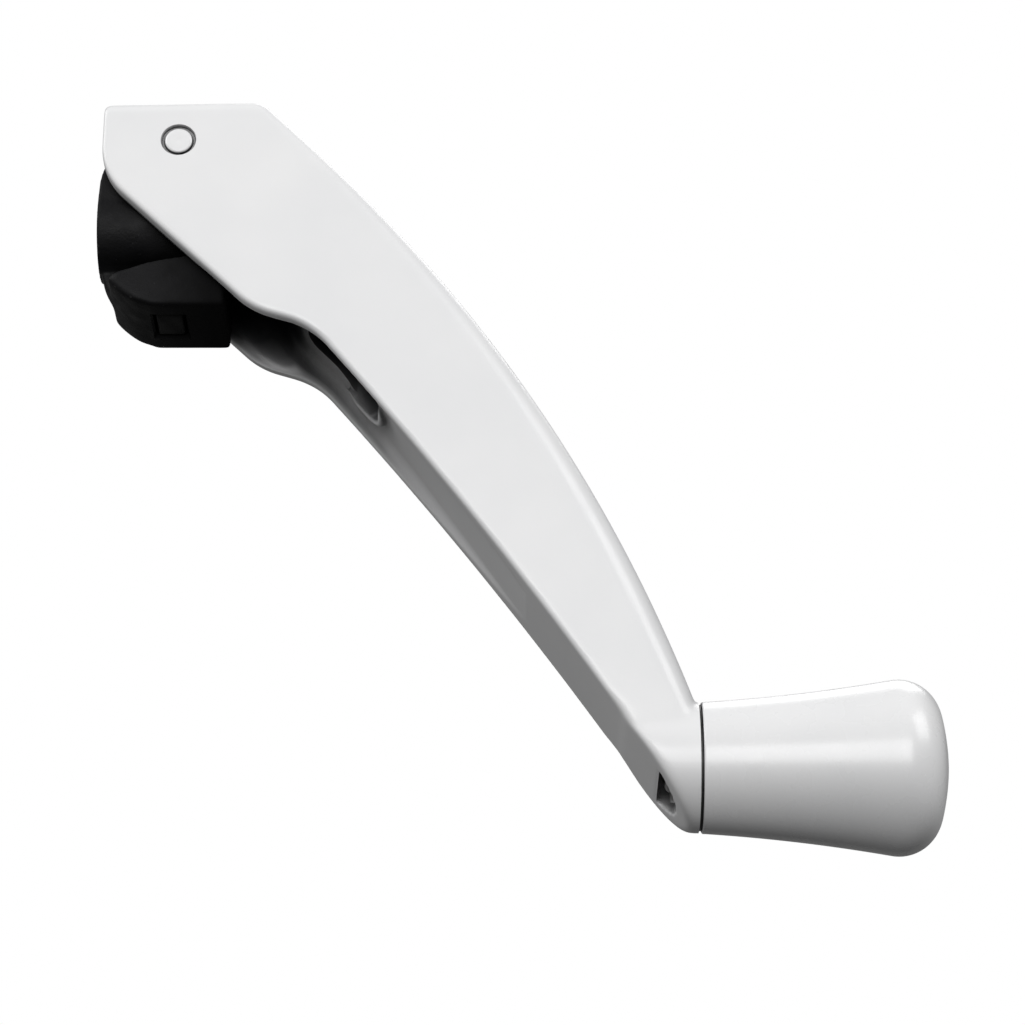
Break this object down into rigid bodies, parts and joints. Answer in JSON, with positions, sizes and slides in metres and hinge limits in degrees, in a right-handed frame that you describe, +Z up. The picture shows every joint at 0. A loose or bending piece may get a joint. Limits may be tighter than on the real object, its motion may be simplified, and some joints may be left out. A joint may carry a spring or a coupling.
{
  "type": "folding window crank handle",
  "caption": "White folding window crank handle: a hollow-ended curved arm pivots on a black hub with a splined shaft socket and carries a flared knob that spins freely.",
  "frame": {"origin": "centre of the hub's mouth, on the axis of the operator shaft", "axes": "+X along the operator shaft, out from the window, and along the knob axis; +Z up, with the knob hanging below the shaft; +Y across the arm, parallel to the pivot pin"},
  "size_m": [0.1209, 0.0244, 0.1139],
  "materials": {
    "hub_black": "fine textured black",
    "socket_steel": "broached steel",
    "plug_black": "fine textured black",
    "bush_steel": "turned steel",
    "washer_steel": "stamped steel",
    "arm_white": "satin white powder coat",
    "pin_white": "white-coated steel",
    "stud_steel": "turned steel with a peened tail",
    "seam_dark": "dark acetal washer",
    "knob_white": "satin-gloss white",
    "sleeve_nylon": "natural nylon"
  },
  "bodies": {
    "hub": {"hub_body": "hub_black", "shaft_socket": "socket_steel", "retainer_plug": "plug_black", "pivot_bush": "bush_steel", "friction_washers": "washer_steel"},
    "arm": {"arm_casting": "arm_white", "pivot_pin": "pin_white", "knob_stud": "stud_steel", "stud_washer": "washer_steel", "seam_washer": "seam_dark", "thrust_washer": "washer_steel"},
    "knob": {"knob_shell": "knob_white", "knob_sleeve": "sleeve_nylon"}
  },
  "joints": [
    {"name": "arm_fold", "type": "hinge", "parent": "hub", "child": "arm", "pos_m": [0.0118, 0, 0.0104], "axis": [0, 1, 0], "range_deg": [0, 45]},
    {"name": "knob_spin", "type": "hinge", "parent": "arm", "child": "knob", "pos_m": [0.0871, 0, -0.0842], "axis": [1, 0, 0], "continuous": true}
  ]
}
